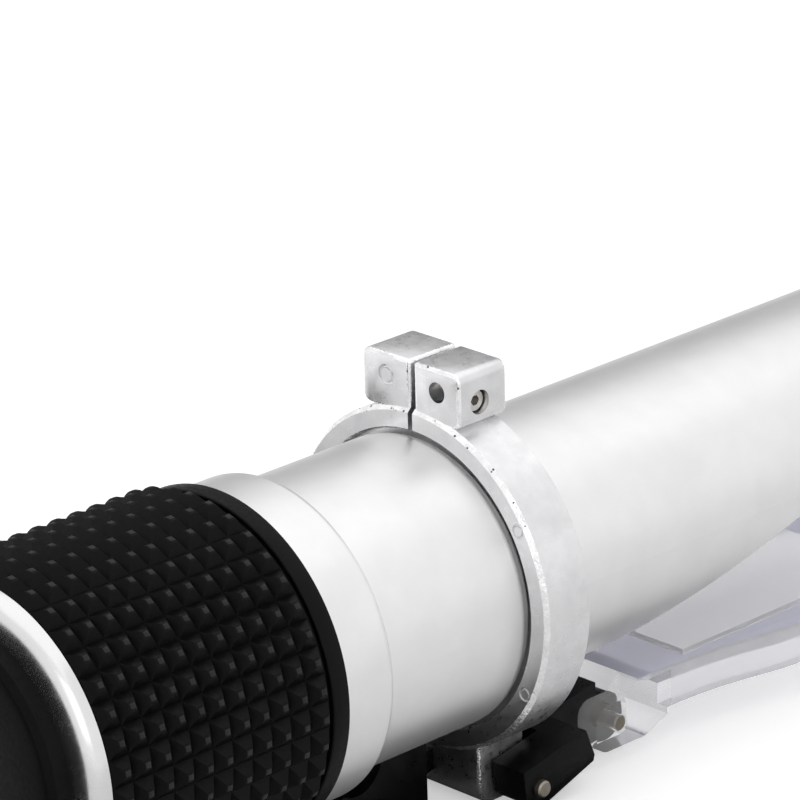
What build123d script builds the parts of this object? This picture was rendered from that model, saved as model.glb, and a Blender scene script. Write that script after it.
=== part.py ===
"""Handheld brix refractometer with a studded rubber grip, a split clamp ring and a clear daylight plate.

Millimetres. The tube runs along Y, with the eyecup at the back and the prism nose in front (+Y).
Z is up, x = 0 is the middle plane, and z = 0 is the table that the eyecup and the rest foot touch.
Sizes ending in _along, _rear, _front, _from or _to are distances from the clamp ring's rear face,
positive towards the nose, and those ending in _drop are distances below the tube's axis.
"""

import os
from math import atan2, cos, degrees, pi, radians, sin, sqrt, tan

from build123d import *

os.makedirs("parts", exist_ok=True)

# Running and assembly clearances, per side
fit_gap = 0.02
run_gap = 0.06
swing_gap = 0.35

# Main tube
tube_radius = 13.5
tube_bore = 12.3
tube_rear = -47.0
tube_front = 1.2
tube_shoulder = 1.9
tube_flange_depth = 4.2
spigot_radius = 10.95

# Prism housing and its slanted measuring face
front_radius = 11.85
nose_y = 65.0
nose_rounding = 1.2
cut_start = 9.44
cut_angle = 19.3
collar_radius = 13.77
housing_rear = -12.0
housing_bore = 8.5
housing_bore_depth = 24.0
light_window = 5.0

# Prism and its seal
prism_from = 14.0
prism_length = 28.0
prism_half_width = 7.5
prism_top = 6.0
seal_border = 1.0
seal_depth = 0.8

# Clamp ring
ring_width = 5.66
ring_bore = 13.79
ring_radius = 15.87
ring_edge = 0.45
split_half = 0.48
lug_top = 20.27
lug_reach = 5.7
lug_setback = 0.32
lug_rounding = 0.9
lug_mark_x = 3.1
lug_mark_z = 18.25
lug_mark_radius = 0.85
right_mark_depth = 1.1
left_mark_depth = 0.28
screw_along = 2.85
screw_height = 17.2
screw_radius = 0.95
screw_socket = 0.5
screw_socket_depth = 1.2
screw_inset = 0.9
hinge_lug_half = 6.54
hinge_lug_rear = 0.45
hinge_lug_front = 6.2
hinge_lug_bottom = 20.2
hinge_lug_rounding = 1.66

# Hinge link and its two pins
pin_radius = 0.78
link_pin_along = 3.97
link_pin_drop = 18.2
link_pin_half = 11.3
plate_pin_along = 16.5
plate_pin_drop = 16.84
pin_edge = 0.15
link_half = 10.7
link_end_radius = 1.85
link_cheek_rear = 1.9
link_cheek_rear_drop = 16.14
link_cheek_front = 9.84
link_cheek_front_drop = 14.63
link_nose = 10.85
link_nose_drop = 17.3
link_nose_back = 0.15
link_nose_foot = 0.55
link_slot_gap = 1.4
side_gap = 0.21
tongue_half = 6.0
tongue_overlap = 1.2
horn_overlap = 0.6
horn_rear = 12.2
horn_rear_drop = 13.9
horn_drop = 13.35
horn_front = 15.9
barrel_radius = 2.3

# Daylight plate
plate_ear_inner = 6.25
plate_ear_outer = 8.6
plate_half_width = 11.05
plate_tip = 62.5
plate_drop = 13.3
plate_sheet = 1.9
plate_wall = 1.5
plate_wall_height = 3.9
plate_edge = 0.35
plate_flat_from = 18.6
plate_corner = 5.0
flare_from = 23.0
flare_to = 43.0
knuckle_web_rear = 17.2
knuckle_web_drop = 14.2
ear_rear = 13.3
ear_front = 22.5
ear_top_drop = 14.5
ear_bottom_drop = 19.0
ear_rounding = 1.5
ear_chamfer_run = 2.2
ear_chamfer_rise = 1.2
pad_raise = 0.4
pad_from = 25.6
pad_length = 28.0
pad_half_width = 7.7
pad_bevel = 0.25

# Rest foot behind the hinge lug
foot_half = 3.0
foot_front = -2.47
foot_pillar_rear = -8.0
foot_pillar_drop = 14.0
foot_scoop_rear = -12.5
foot_scoop_drop = 15.9
foot_rear = -20.4
foot_tail_drop = 17.2
foot_edge = 1.0
foot_rib_half = 0.85
foot_rib_drop = 16.22
foot_rib_bottom = 18.2
foot_rib_slant = 1.0
foot_screw_along = -5.4
foot_screw_radius = 1.0
foot_screw_head = 1.8
foot_screw_head_depth = 2.6
foot_screw_head_length = 1.4

# Stop collar and studded grip
collar_front = -16.94
collar_outer = 14.77
collar_rounding = 0.8
grip_front = -22.98
grip_rear = -49.1
grip_lip_radius = 15.46
grip_lip_width = 2.3
grip_lip_bore_depth = 1.9
stud_tip_radius = 16.11
stud_root_radius = 14.85
stud_tip = 0.5
stud_rows = 10
studs_around = 40
groove_spare = 0.24

# Focusing eyepiece
bezel_front = -49.3
bezel_rear = -51.4
bezel_radius = 15.3
bezel_land = 0.5
bezel_rear_radius = 13.1
cam_radius = 12.2
cam_neck_radius = 11.3
cam_bore = 10.4
cam_front = -43.6
cam_rear = -55.0
eyecup_rim_radius = 20.6
eyecup_rear = -76.0
eyecup_neck_radius = 12.9
eyecup_neck_rear = -55.4
eyecup_flange = 1.6
eyecup_groove = 0.55
eyecup_rim_band = 3.0
eyecup_throat = -57.5
eyecup_wall = 1.5
eyecup_neck_bore = 10.8
eyecup_edge = 0.5
eyecup_swell = 0.7

# Lens cell, its lenses and the guide key
cell_radius = 10.3
cell_bore = 8.8
cell_front = -38.6
cell_rear = -58.0
cell_lip = 7.4
cell_lip_length = 1.4
lens_edge = 1.6
lens_crown = 1.3
lens_radius = 8.77
lens_land = 1.3
spacer_length = 10.0
retainer_length = 1.6
key_half = 0.8
key_front = -41.0
key_rear = -43.3
key_groove_depth = 0.9
key_groove_run = 2.7

# Reticle and objective
reticle_along = -31.0
reticle_mount_length = 4.0
reticle_radius = 9.0
reticle_window = 7.6
reticle_thickness = 1.1
objective_rear = -11.4
objective_length = 7.6
objective_radius = 7.0
objective_lip = 6.0
objective_lip_length = 1.0

# Calibration screw in the side of the tube
calibration_along = -9.0
calibration_radius = 1.6
calibration_head = 13.35
calibration_foot = 11.1
slot_width = 0.5
slot_depth = 0.6

# The frame: the table lies at z = 0 and the overall length is centred on y = 0
axis_z = eyecup_rim_radius
ring_y = -(eyecup_rear + nose_y) / 2
tube_axis = Axis((0, ring_y, axis_z), (0, 1, 0))
plan = Plane(origin=(0, ring_y, axis_z), x_dir=(1, 0, 0), z_dir=(0, 0, 1))
side = Plane(origin=(0, ring_y, axis_z), x_dir=(0, 1, 0), z_dir=(1, 0, 0))


def across(along):
    """Plane square to the tube, seen from behind: local x is X and local y is up."""
    return Plane(origin=(0, ring_y + along, axis_z), x_dir=(1, 0, 0), z_dir=(0, -1, 0))


def pin_plane(along, drop):
    """Plane of a hinge pin's section, with the pin's axis at its origin."""
    return Plane(origin=(0, ring_y + along, axis_z - drop), x_dir=(0, 1, 0), z_dir=(1, 0, 0))


def turned(*points):
    """Closed outline of (radius, along) points, to be turned about the tube's axis."""
    with BuildSketch(plan) as outline:
        with BuildLine():
            Polyline(*points, close=True)
        make_face()
    return outline.sketch


def finish(piece, name):
    """Label a finished piece and write it."""
    piece.part.label = name
    export_step(piece.part, f"parts/{name}.step")


# Main tube, with an inner flange in front that centres the prism housing
with BuildPart() as main_tube:
    revolve(
        turned(
            (tube_bore, tube_rear),
            (tube_radius, tube_rear),
            (tube_radius, tube_front),
            (spigot_radius + fit_gap, tube_front),
            (spigot_radius + fit_gap, tube_front - tube_flange_depth),
            (tube_bore, tube_front - tube_flange_depth),
        ),
        axis=tube_axis,
    )
    front_rim = main_tube.edges().filter_by(GeomType.CIRCLE).group_by(Axis.Y)[-1].sort_by(SortBy.RADIUS)[-1]
    fillet(front_rim, tube_shoulder)
    with BuildSketch(Plane(origin=(0, ring_y + foot_screw_along, 0))):
        Circle(foot_screw_radius + fit_gap)
    extrude(amount=axis_z, mode=Mode.SUBTRACT)
    with BuildSketch(pin_plane(calibration_along, 0)):
        Circle(calibration_radius + run_gap)
    extrude(amount=-2 * tube_radius, mode=Mode.SUBTRACT)
finish(main_tube, "main_tube")

# Slanted measuring plane: local x runs up the slope, local y is X, the normal points out and down
slope = radians(cut_angle)
measuring_plane = Plane(
    origin=(0, ring_y + cut_start, axis_z - front_radius),
    x_dir=(0, cos(slope), sin(slope)),
    z_dir=(0, sin(slope), -cos(slope)),
)


def on_slope(distance):
    """A point of the measuring face, as (along, height), at a distance up its slope."""
    return (cut_start + distance * cos(slope), -front_radius + distance * sin(slope))


prism_low = on_slope(prism_from)
prism_high = on_slope(prism_from + prism_length)


def prism_outline(gap):
    """Side outline of the prism, grown by a gap away from the measuring face."""
    Polyline(
        (prism_low[0] - gap, prism_low[1] - gap * tan(slope)),
        (prism_high[0] + gap, prism_high[1] + gap * tan(slope)),
        (prism_high[0] + gap, prism_top + gap),
        (prism_low[0] - gap, prism_top + gap),
        close=True,
    )


# Prism housing: spigot, clamping collar and front tube, cut on the slant
with BuildPart() as prism_housing:
    revolve(
        turned(
            (0, housing_rear),
            (spigot_radius, housing_rear),
            (spigot_radius, tube_front + fit_gap),
            (collar_radius, tube_front + fit_gap),
            (collar_radius, ring_width),
            (front_radius, ring_width),
            (front_radius, nose_y),
            (0, nose_y),
        ),
        axis=tube_axis,
    )
    fillet(prism_housing.edges().group_by(Axis.Y)[-1], nose_rounding)
    with BuildSketch(measuring_plane):
        with Locations((nose_y, 0)):
            Rectangle(2 * nose_y, 4 * front_radius)
    extrude(amount=2 * front_radius, mode=Mode.SUBTRACT)
    with BuildSketch(across(housing_rear)):
        Circle(housing_bore)
    extrude(amount=-housing_bore_depth, mode=Mode.SUBTRACT)
    with BuildSketch(across(housing_rear)):
        Circle(light_window)
    extrude(amount=housing_rear - prism_low[0], mode=Mode.SUBTRACT)
    with BuildSketch(side):
        with BuildLine():
            prism_outline(fit_gap)
        make_face()
    extrude(amount=prism_half_width + fit_gap, both=True, mode=Mode.SUBTRACT)
    with BuildSketch(measuring_plane):
        with Locations((prism_from + prism_length / 2, 0)):
            Rectangle(prism_length + 2 * seal_border, 2 * (prism_half_width + seal_border))
    extrude(amount=-seal_depth, mode=Mode.SUBTRACT)
finish(prism_housing, "prism_housing")

# Main prism, with its measuring face flush with the slanted cut
with BuildPart() as main_prism:
    with BuildSketch(side):
        with BuildLine():
            prism_outline(0)
        make_face()
    extrude(amount=prism_half_width, both=True)
finish(main_prism, "main_prism")

# Seal frame bedded round the prism
with BuildPart() as prism_seal:
    with BuildSketch(measuring_plane):
        with Locations((prism_from + prism_length / 2, 0)):
            Rectangle(
                prism_length + 2 * (seal_border - fit_gap),
                2 * (prism_half_width + seal_border - fit_gap),
            )
    extrude(amount=fit_gap - seal_depth)
    with BuildSketch(side):
        with BuildLine():
            prism_outline(fit_gap)
        make_face()
    extrude(amount=prism_half_width + fit_gap, both=True, mode=Mode.SUBTRACT)
finish(prism_seal, "prism_seal")

# Split clamp ring: two screw lugs on top, one wide hinge lug below
with BuildPart() as ring_clamp:
    with BuildSketch(across(0)):
        Circle(ring_radius)
    extrude(amount=-ring_width)
    chamfer(ring_clamp.edges().filter_by(GeomType.CIRCLE), ring_edge)
    with BuildSketch(across(lug_setback)) as lug_section:
        with BuildLine():
            FilletPolyline(
                (-lug_reach, ring_bore),
                (-lug_reach, lug_top),
                (lug_reach, lug_top),
                (lug_reach, ring_bore),
                radius=lug_rounding,
            )
            Line((lug_reach, ring_bore), (-lug_reach, ring_bore))
        make_face()
    extrude(amount=lug_setback - ring_width)
    with BuildSketch(side):
        with BuildLine():
            FilletPolyline(
                (hinge_lug_rear, -ring_bore),
                (hinge_lug_rear, -hinge_lug_bottom),
                (hinge_lug_front, -hinge_lug_bottom),
                (hinge_lug_front, -ring_bore),
                radius=hinge_lug_rounding,
            )
            Line((hinge_lug_front, -ring_bore), (hinge_lug_rear, -ring_bore))
        make_face()
    extrude(amount=hinge_lug_half, both=True)
    with BuildSketch(across(-1)):
        Circle(ring_bore)
    extrude(amount=-(hinge_lug_front + 2), mode=Mode.SUBTRACT)
    with BuildSketch(across(-1)):
        with Locations((0, lug_top)):
            Rectangle(2 * split_half, 2 * (lug_top - ring_bore + 1))
    extrude(amount=-(ring_width + 2), mode=Mode.SUBTRACT)
    with BuildSketch(pin_plane(screw_along, -screw_height)):
        Circle(screw_radius + run_gap)
    extrude(amount=2 * lug_reach, both=True, mode=Mode.SUBTRACT)
    for mark_x, mark_depth in ((lug_mark_x, right_mark_depth), (-lug_mark_x, left_mark_depth)):
        with BuildSketch(across(lug_setback)):
            with Locations((mark_x, lug_mark_z)):
                Circle(lug_mark_radius)
        extrude(amount=-mark_depth, mode=Mode.SUBTRACT)
    with BuildSketch(pin_plane(link_pin_along, link_pin_drop)):
        Circle(pin_radius + run_gap)
    extrude(amount=2 * hinge_lug_half, both=True, mode=Mode.SUBTRACT)
finish(ring_clamp, "ring_clamp")

# Clamp screw with a hexagon socket, sunk in the right lug
with BuildPart() as clamp_screw:
    with BuildSketch(pin_plane(screw_along, -screw_height)):
        Circle(screw_radius)
    extrude(amount=lug_reach - screw_inset, both=True)
    with BuildSketch(pin_plane(screw_along, -screw_height).offset(lug_reach - screw_inset)):
        RegularPolygon(screw_socket, 6)
    extrude(amount=-screw_socket_depth, mode=Mode.SUBTRACT)
finish(clamp_screw, "clamp_screw")

# Stop collar in front of the grip, its far edge rounded
with BuildPart() as stop_collar:
    revolve(
        turned(
            (tube_radius + fit_gap, grip_front - grip_lip_bore_depth),
            (collar_outer, grip_front - grip_lip_bore_depth),
            (collar_outer, collar_front),
            (tube_radius + fit_gap, collar_front),
        ),
        axis=tube_axis,
    )
    collar_rim = stop_collar.edges().filter_by(GeomType.CIRCLE).group_by(Axis.Y)[-1].sort_by(SortBy.RADIUS)[-1]
    fillet(collar_rim, collar_rounding)
finish(stop_collar, "stop_collar")

# One band of the grip's studs, with a flat for each of them, tapered down to both sides
stud_front = grip_front - grip_lip_width
stud_pitch = (stud_front - grip_rear) / stud_rows
stud_flank = (stud_pitch - stud_tip) / 2
stud_height = stud_tip_radius - stud_root_radius
with BuildPart() as stud_band:
    with BuildSketch(across(grip_rear + (stud_pitch + stud_tip) / 2)):
        RegularPolygon(stud_tip_radius, studs_around, major_radius=False)
    extrude(amount=stud_tip)
    rear_end, front_end = stud_band.faces().filter_by(GeomType.PLANE).filter_by(Axis.Y).sort_by(Axis.Y)
    for end in (rear_end, front_end):
        extrude(end, amount=stud_flank, taper=degrees(atan2(stud_height, stud_flank)))

# Rubber grip: a row of bands, V cuts along it that part them into pyramids, and a lip in front
with BuildPart() as rubber_grip:
    with Locations(*((0, row * stud_pitch, 0) for row in range(stud_rows))):
        add(stud_band.part)
    groove_half = pi * stud_tip_radius / studs_around - stud_tip / 2
    groove_depth = stud_height + groove_spare
    with BuildSketch(across(grip_rear - 1)):
        with PolarLocations(0, studs_around):
            Polygon(
                (stud_root_radius, 0),
                (stud_root_radius + groove_depth, groove_half * groove_depth / stud_height),
                (stud_root_radius + groove_depth, -groove_half * groove_depth / stud_height),
                align=None,
            )
    extrude(amount=-(stud_front - grip_rear + 1), mode=Mode.SUBTRACT)
    with BuildSketch(across(stud_front)):
        Circle(grip_lip_radius)
    extrude(amount=-grip_lip_width)
    with BuildSketch(across(grip_front - grip_lip_bore_depth - fit_gap)):
        Circle(collar_outer + fit_gap)
    extrude(amount=-grip_lip_width, mode=Mode.SUBTRACT)
    with BuildSketch(across(grip_rear - 1)):
        Circle(tube_radius + fit_gap)
    extrude(amount=-(grip_front - grip_rear + 2), mode=Mode.SUBTRACT)
finish(rubber_grip, "rubber_grip")

# Rest foot: a pillar under the tube on a skid, with a thin rib that bears on the hinge lug
with BuildPart() as rest_foot:
    with BuildSketch(side):
        with BuildLine():
            Polyline(
                (foot_scoop_rear, -foot_scoop_drop),
                (foot_rear, -foot_tail_drop),
                (foot_rear, -axis_z + foot_edge),
                (foot_rear + foot_edge, -axis_z),
                (foot_front, -axis_z),
                (foot_front, -tube_bore),
                (foot_pillar_rear, -tube_bore),
                (foot_pillar_rear, -foot_pillar_drop),
            )
            TangentArc(
                (foot_pillar_rear, -foot_pillar_drop),
                (foot_scoop_rear, -foot_scoop_drop),
                tangent=(-0.25, -1),
            )
        make_face()
    extrude(amount=foot_half, both=True)
    with BuildSketch(side):
        with BuildLine():
            Polyline(
                (foot_front - 1, -foot_rib_drop),
                (hinge_lug_rear, -foot_rib_drop),
                (hinge_lug_rear, -foot_rib_bottom),
                (foot_front - 1, -foot_rib_bottom - foot_rib_slant),
                close=True,
            )
        make_face()
    extrude(amount=foot_rib_half, both=True)
    with BuildSketch(across(foot_rear - 1)):
        Circle(tube_radius)
    extrude(amount=foot_rear - 2, mode=Mode.SUBTRACT)
    with BuildSketch(Plane(origin=(0, ring_y + foot_screw_along, 0))):
        Circle(foot_screw_radius + fit_gap)
    extrude(amount=axis_z, mode=Mode.SUBTRACT)
    with BuildSketch(Plane(origin=(0, ring_y + foot_screw_along, 0))):
        Circle(foot_screw_head + fit_gap)
    extrude(amount=foot_screw_head_depth, mode=Mode.SUBTRACT)
finish(rest_foot, "rest_foot")

# Screw that holds the foot to the tube, its head sunk in the foot
with BuildPart() as foot_screw:
    with BuildSketch(Plane(origin=(0, ring_y + foot_screw_along, foot_screw_head_depth))):
        Circle(foot_screw_radius)
    extrude(amount=axis_z - foot_screw_head_depth - spigot_radius - swing_gap)
    with BuildSketch(Plane(origin=(0, ring_y + foot_screw_along, foot_screw_head_depth))):
        Circle(foot_screw_head)
    extrude(amount=-foot_screw_head_length)
finish(foot_screw, "foot_screw")

# Hinge link: two cheeks straddle the hinge lug, a tongue in front carries the plate's pin
with BuildPart() as hinge_link:
    with BuildSketch(side):
        with Locations((link_pin_along, -link_pin_drop)):
            Circle(link_end_radius)
        Polygon(
            (link_cheek_rear, -link_cheek_rear_drop),
            (link_cheek_front, -link_cheek_front_drop),
            (link_nose, -link_nose_drop),
            (link_nose - link_nose_back, -link_nose_drop - link_nose_foot),
            align=None,
        )
        make_hull()
    extrude(amount=link_half, both=True)
    with BuildSketch(side):
        with Locations((0, -link_pin_drop)):
            Rectangle(2 * (hinge_lug_front + link_slot_gap), 4 * link_end_radius + hinge_lug_front)
    extrude(amount=hinge_lug_half + side_gap, both=True, mode=Mode.SUBTRACT)
    with BuildSketch(side):
        with Locations((plate_pin_along, -plate_pin_drop)):
            Circle(barrel_radius)
        Polygon(
            (link_nose - tongue_overlap, -link_cheek_front_drop - pin_edge),
            (plate_pin_along, -plate_pin_drop),
            (link_nose - tongue_overlap, -link_nose_drop - link_nose_foot),
            align=None,
        )
        make_hull()
    extrude(amount=tongue_half, both=True)
    with BuildSketch(side):
        Polygon(
            (link_cheek_front - horn_overlap, -link_cheek_front_drop - pin_edge),
            (horn_rear, -horn_rear_drop),
            (horn_front, -horn_drop),
            (horn_front, -plate_pin_drop),
            (link_cheek_front - horn_overlap, -plate_pin_drop),
            align=None,
        )
    extrude(amount=tongue_half, both=True)
    with BuildSketch(pin_plane(plate_pin_along, plate_pin_drop)):
        Circle(pin_radius + run_gap)
    extrude(amount=link_half, both=True, mode=Mode.SUBTRACT)
    with BuildSketch(pin_plane(link_pin_along, link_pin_drop)):
        Circle(pin_radius + fit_gap)
    extrude(amount=2 * link_half, both=True, mode=Mode.SUBTRACT)
finish(hinge_link, "hinge_link")


def cross_pin(along, drop, half_length):
    """Plain hinge pin across the part, its two rims broken."""
    with BuildPart() as pin:
        with BuildSketch(pin_plane(along, drop)):
            Circle(pin_radius)
        extrude(amount=half_length, both=True)
        chamfer(pin.edges().filter_by(GeomType.CIRCLE), pin_edge)
    return pin


link_pin = cross_pin(link_pin_along, link_pin_drop, link_pin_half)
finish(link_pin, "link_pin")
plate_pin = cross_pin(plate_pin_along, plate_pin_drop, plate_ear_outer - pin_edge)
finish(plate_pin, "plate_pin")

# Daylight plate: a flared clear tray, open below, with two hinge ears and a raised pad on top
plate_plane = Plane(origin=(0, ring_y, axis_z - plate_drop), x_dir=(1, 0, 0), z_dir=(0, 0, 1))


def plate_outline():
    """Both halves of the plate's outline: ears, an S of two arcs to the full width, and the tip."""
    half_flare = (plate_half_width - plate_ear_outer) / 2
    half_run = (flare_to - flare_from) / 2
    lean = 2 * atan2(half_flare, half_run)
    for way in (1, -1):
        ear_corner = (way * plate_ear_outer, flare_from)
        flare_middle = (way * (plate_ear_outer + half_flare), flare_from + half_run)
        full_corner = (way * plate_half_width, flare_to)
        Polyline((0, plate_flat_from), (way * plate_ear_outer, plate_flat_from), ear_corner)
        TangentArc(ear_corner, flare_middle, tangent=(0, 1))
        TangentArc(flare_middle, full_corner, tangent=(way * sin(lean), cos(lean)))
        FilletPolyline(
            full_corner,
            (way * plate_half_width, plate_tip),
            (0, plate_tip),
            radius=plate_corner,
        )


with BuildPart() as daylight_plate:
    with BuildSketch(plate_plane) as plate_plan:
        with BuildLine():
            plate_outline()
        make_face()
    extrude(amount=-plate_wall_height)
    fillet(daylight_plate.faces().sort_by(Axis.Z)[-1].edges(), plate_edge)
    with BuildSketch(plate_plane.offset(-plate_sheet)):
        add(plate_plan.sketch_local)
        offset(amount=-plate_wall, mode=Mode.REPLACE)
    extrude(amount=-plate_wall_height, mode=Mode.SUBTRACT)
    with BuildSketch(side):
        with BuildLine():
            FilletPolyline(
                (ear_front, -ear_bottom_drop + ear_chamfer_rise),
                (ear_front - ear_chamfer_run, -ear_bottom_drop),
                (ear_rear, -ear_bottom_drop),
                (ear_rear, -ear_top_drop),
                (ear_front, -ear_top_drop),
                radius=ear_rounding,
            )
            Line((ear_front, -ear_top_drop), (ear_front, -ear_bottom_drop + ear_chamfer_rise))
        make_face()
    extrude(amount=plate_ear_outer, both=True)
    with BuildSketch(side):
        with BuildLine():
            Polyline(
                (plate_flat_from, -plate_drop),
                (knuckle_web_rear, -knuckle_web_drop),
                (knuckle_web_rear, -plate_pin_drop),
                (plate_flat_from + plate_wall, -plate_pin_drop),
                (plate_flat_from + plate_wall, -plate_drop - plate_edge),
                close=True,
            )
        make_face()
    extrude(amount=plate_ear_outer, both=True)
    with BuildSketch(pin_plane(plate_pin_along, plate_pin_drop)):
        Circle(barrel_radius + swing_gap)
        with Locations((-plate_pin_along + ear_rear - 1, -barrel_radius)):
            Rectangle(
                plate_pin_along - ear_rear + 1 + barrel_radius,
                ear_bottom_drop,
                align=(Align.MIN, Align.CENTER),
            )
    extrude(amount=plate_ear_inner, both=True, mode=Mode.SUBTRACT)
    with BuildSketch(plate_plane.offset(-plate_edge)):
        with Locations((0, pad_from + pad_length / 2)):
            Rectangle(2 * pad_half_width, pad_length)
    extrude(amount=plate_edge + pad_raise)
    chamfer(daylight_plate.faces().sort_by(Axis.Z)[-1].edges(), pad_bevel)
    with BuildSketch(pin_plane(plate_pin_along, plate_pin_drop)):
        Circle(pin_radius + fit_gap)
    extrude(amount=2 * plate_ear_outer, both=True, mode=Mode.SUBTRACT)
finish(daylight_plate, "daylight_plate")

# Focusing ring: a sleeve that turns in the tube's bore, a bright bezel and the eyecup
with BuildPart() as focus_cam:
    revolve(
        turned(
            (cam_bore, cam_front),
            (cam_radius, cam_front),
            (cam_radius, bezel_rear),
            (cam_neck_radius, bezel_rear),
            (cam_neck_radius, cam_rear),
            (cam_bore, cam_rear),
        ),
        axis=tube_axis,
    )
finish(focus_cam, "focus_cam")

with BuildPart() as focus_bezel:
    with BuildSketch(plan):
        with BuildLine():
            Polyline(
                (bezel_radius, bezel_front - bezel_land),
                (bezel_radius, bezel_front),
                (cam_radius + fit_gap, bezel_front),
                (cam_radius + fit_gap, bezel_rear),
                (bezel_rear_radius, bezel_rear),
            )
            TangentArc(
                (bezel_radius, bezel_front - bezel_land),
                (bezel_rear_radius, bezel_rear),
                tangent=(0, -1),
            )
        make_face()
    revolve(axis=tube_axis)
finish(focus_bezel, "focus_bezel")

with BuildPart() as eyecup:
    with BuildSketch(plan):
        with BuildLine():
            neck_front = bezel_rear - fit_gap
            rim_inner = eyecup_rim_radius - eyecup_wall
            Polyline(
                (eyecup_rim_radius - eyecup_edge, eyecup_rear),
                (rim_inner + eyecup_edge, eyecup_rear),
                (rim_inner, eyecup_rear + eyecup_edge),
            )
            Spline(
                (rim_inner, eyecup_rear + eyecup_edge),
                ((rim_inner + eyecup_neck_bore) / 2 + eyecup_swell, (eyecup_rear + eyecup_throat) / 2),
                (eyecup_neck_bore, eyecup_throat),
                tangents=((0.1, 1), (-0.35, 1)),
            )
            Polyline(
                (eyecup_neck_bore, eyecup_throat),
                (eyecup_neck_bore, cam_rear - fit_gap),
                (cam_neck_radius + fit_gap, cam_rear - fit_gap),
                (cam_neck_radius + fit_gap, neck_front),
                (eyecup_neck_radius, neck_front),
                (eyecup_neck_radius, neck_front - eyecup_flange),
                (eyecup_neck_radius - eyecup_groove, neck_front - eyecup_flange - eyecup_groove),
                (eyecup_neck_radius, eyecup_neck_rear),
            )
            Spline(
                (eyecup_neck_radius, eyecup_neck_rear),
                (
                    (eyecup_rim_radius + eyecup_neck_radius) / 2 + eyecup_swell,
                    (eyecup_rear + eyecup_neck_rear) / 2,
                ),
                (eyecup_rim_radius, eyecup_rear + eyecup_rim_band),
                tangents=((0.5, -1), (0.05, -1)),
            )
            Polyline(
                (eyecup_rim_radius, eyecup_rear + eyecup_rim_band),
                (eyecup_rim_radius, eyecup_rear + eyecup_edge),
                (eyecup_rim_radius - eyecup_edge, eyecup_rear),
            )
        make_face()
    revolve(axis=tube_axis)
finish(eyecup, "eyecup")

# Lens cell: slides in the focusing sleeve, kept from turning by a key in its groove
cell_floor = cell_rear + cell_lip_length
with BuildPart() as lens_cell:
    revolve(
        turned(
            (cell_lip, cell_rear),
            (cell_radius, cell_rear),
            (cell_radius, cell_front),
            (cell_bore, cell_front),
            (cell_bore, cell_floor),
            (cell_lip, cell_floor),
        ),
        axis=tube_axis,
    )
    with BuildSketch(across(key_rear - key_groove_run)):
        with Locations((0, -cell_radius)):
            Rectangle(2 * (key_half + run_gap), 2 * key_groove_depth)
    extrude(amount=key_rear - key_groove_run - cell_front - 1, mode=Mode.SUBTRACT)
finish(lens_cell, "lens_cell")

with BuildPart() as guide_key:
    with BuildSketch(across(key_rear)):
        Circle(tube_bore - fit_gap)
        Circle(cell_radius - key_groove_depth + 2 * run_gap, mode=Mode.SUBTRACT)
        with Locations((0, -tube_bore)):
            Rectangle(2 * key_half, tube_bore, mode=Mode.INTERSECT)
    extrude(amount=key_rear - key_front)
finish(guide_key, "guide_key")


def crowned_lens(radius, flat_along, edge, crown, facing):
    """Plano-convex lens: its flat side at flat_along, its crown facing +1 or -1 along the tube."""
    with BuildPart() as lens:
        shoulder = flat_along + facing * edge
        crown_edge = radius - lens_land
        with BuildSketch(plan):
            with BuildLine():
                Polyline(
                    (0, shoulder + facing * crown),
                    (0, flat_along),
                    (radius, flat_along),
                    (radius, shoulder),
                    (crown_edge, shoulder),
                )
                sphere = (crown_edge**2 + crown**2) / (2 * crown)
                middle = crown_edge / 2
                lift = sqrt(sphere**2 - middle**2) - (sphere - crown)
                ThreePointArc(
                    (crown_edge, shoulder),
                    (middle, shoulder + facing * lift),
                    (0, shoulder + facing * crown),
                )
            make_face()
        revolve(axis=tube_axis)
    return lens


def plain_disc(radius, rear, front):
    """Plain turned disc between two distances along the tube."""
    with BuildPart() as disc:
        revolve(turned((0, rear), (radius, rear), (radius, front), (0, front)), axis=tube_axis)
    return disc


def plain_ring(outer, inner, rear, front):
    """Plain turned ring between two distances along the tube."""
    with BuildPart() as ring:
        revolve(turned((inner, rear), (outer, rear), (outer, front), (inner, front)), axis=tube_axis)
    return ring


# Eyepiece lenses with their spacer and retaining ring, stacked from the cell's rear lip
ocular_flat = cell_floor + fit_gap
ocular_shoulder = ocular_flat + lens_edge
field_shoulder = ocular_shoulder + spacer_length
field_flat = field_shoulder + lens_edge
finish(crowned_lens(lens_radius, ocular_flat, lens_edge, lens_crown, 1), "ocular_lens")
finish(
    plain_ring(lens_radius, lens_radius - lens_land, ocular_shoulder + fit_gap, field_shoulder - fit_gap),
    "lens_spacer",
)
finish(crowned_lens(lens_radius, field_flat, lens_edge, lens_crown, -1), "field_lens")
finish(
    plain_ring(lens_radius, lens_radius - lens_land, field_flat + fit_gap, field_flat + retainer_length),
    "lens_retainer",
)

# Reticle glass in its ring
reticle_rear = reticle_along - reticle_mount_length
with BuildPart() as reticle_mount:
    revolve(
        turned(
            (reticle_radius + fit_gap, reticle_rear),
            (tube_bore - fit_gap, reticle_rear),
            (tube_bore - fit_gap, reticle_along),
            (reticle_window, reticle_along),
            (reticle_window, reticle_rear + reticle_thickness + fit_gap),
            (reticle_radius + fit_gap, reticle_rear + reticle_thickness + fit_gap),
        ),
        axis=tube_axis,
    )
finish(reticle_mount, "reticle_mount")
finish(plain_disc(reticle_radius, reticle_rear, reticle_rear + reticle_thickness), "reticle_glass")

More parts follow.
